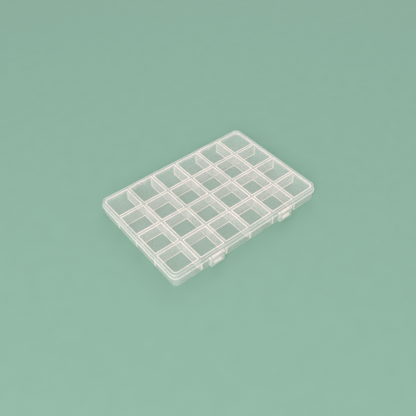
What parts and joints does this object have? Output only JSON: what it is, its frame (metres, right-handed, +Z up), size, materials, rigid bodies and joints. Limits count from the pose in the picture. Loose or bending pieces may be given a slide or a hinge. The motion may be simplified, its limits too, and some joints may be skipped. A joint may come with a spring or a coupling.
{
  "type": "compartment storage box",
  "caption": "Flat clear plastic box with a grid of fixed square compartments, a hinged lid and two snap latches, for beads, screws and other small parts.",
  "frame": {"origin": "centre of the flat underside of the base, where the box stands", "axes": "+X along the long side, to the right as seen from the latches; +Y from the latches to the hinge; +Z up, square to the lid"},
  "size_m": [0.1896, 0.1389, 0.0185],
  "materials": {
    "clear_base": "clear, slightly milky polypropylene with a smooth moulded surface",
    "clear_lid": "clear polypropylene, polished top plate",
    "clear_latch": "milky polypropylene with a satin moulded surface"
  },
  "bodies": {
    "base": {"base": "clear_base"},
    "lid": {"lid": "clear_lid"},
    "latch_left": {"latch_left": "clear_latch"},
    "latch_right": {"latch_right": "clear_latch"}
  },
  "joints": [
    {"name": "lid_hinge", "type": "hinge", "parent": "base", "child": "lid", "pos_m": [0, 0.0676, 0.0106], "axis": [-1, 0, 0], "range_deg": [0, 180]},
    {"name": "latch_left_hinge", "type": "hinge", "parent": "lid", "child": "latch_left", "pos_m": [-0.0455, -0.067, 0.0146], "axis": [-1, 0, 0], "range_deg": [0, 115]},
    {"name": "latch_right_hinge", "type": "hinge", "parent": "lid", "child": "latch_right", "pos_m": [0.0455, -0.067, 0.0146], "axis": [-1, 0, 0], "range_deg": [0, 115]}
  ]
}
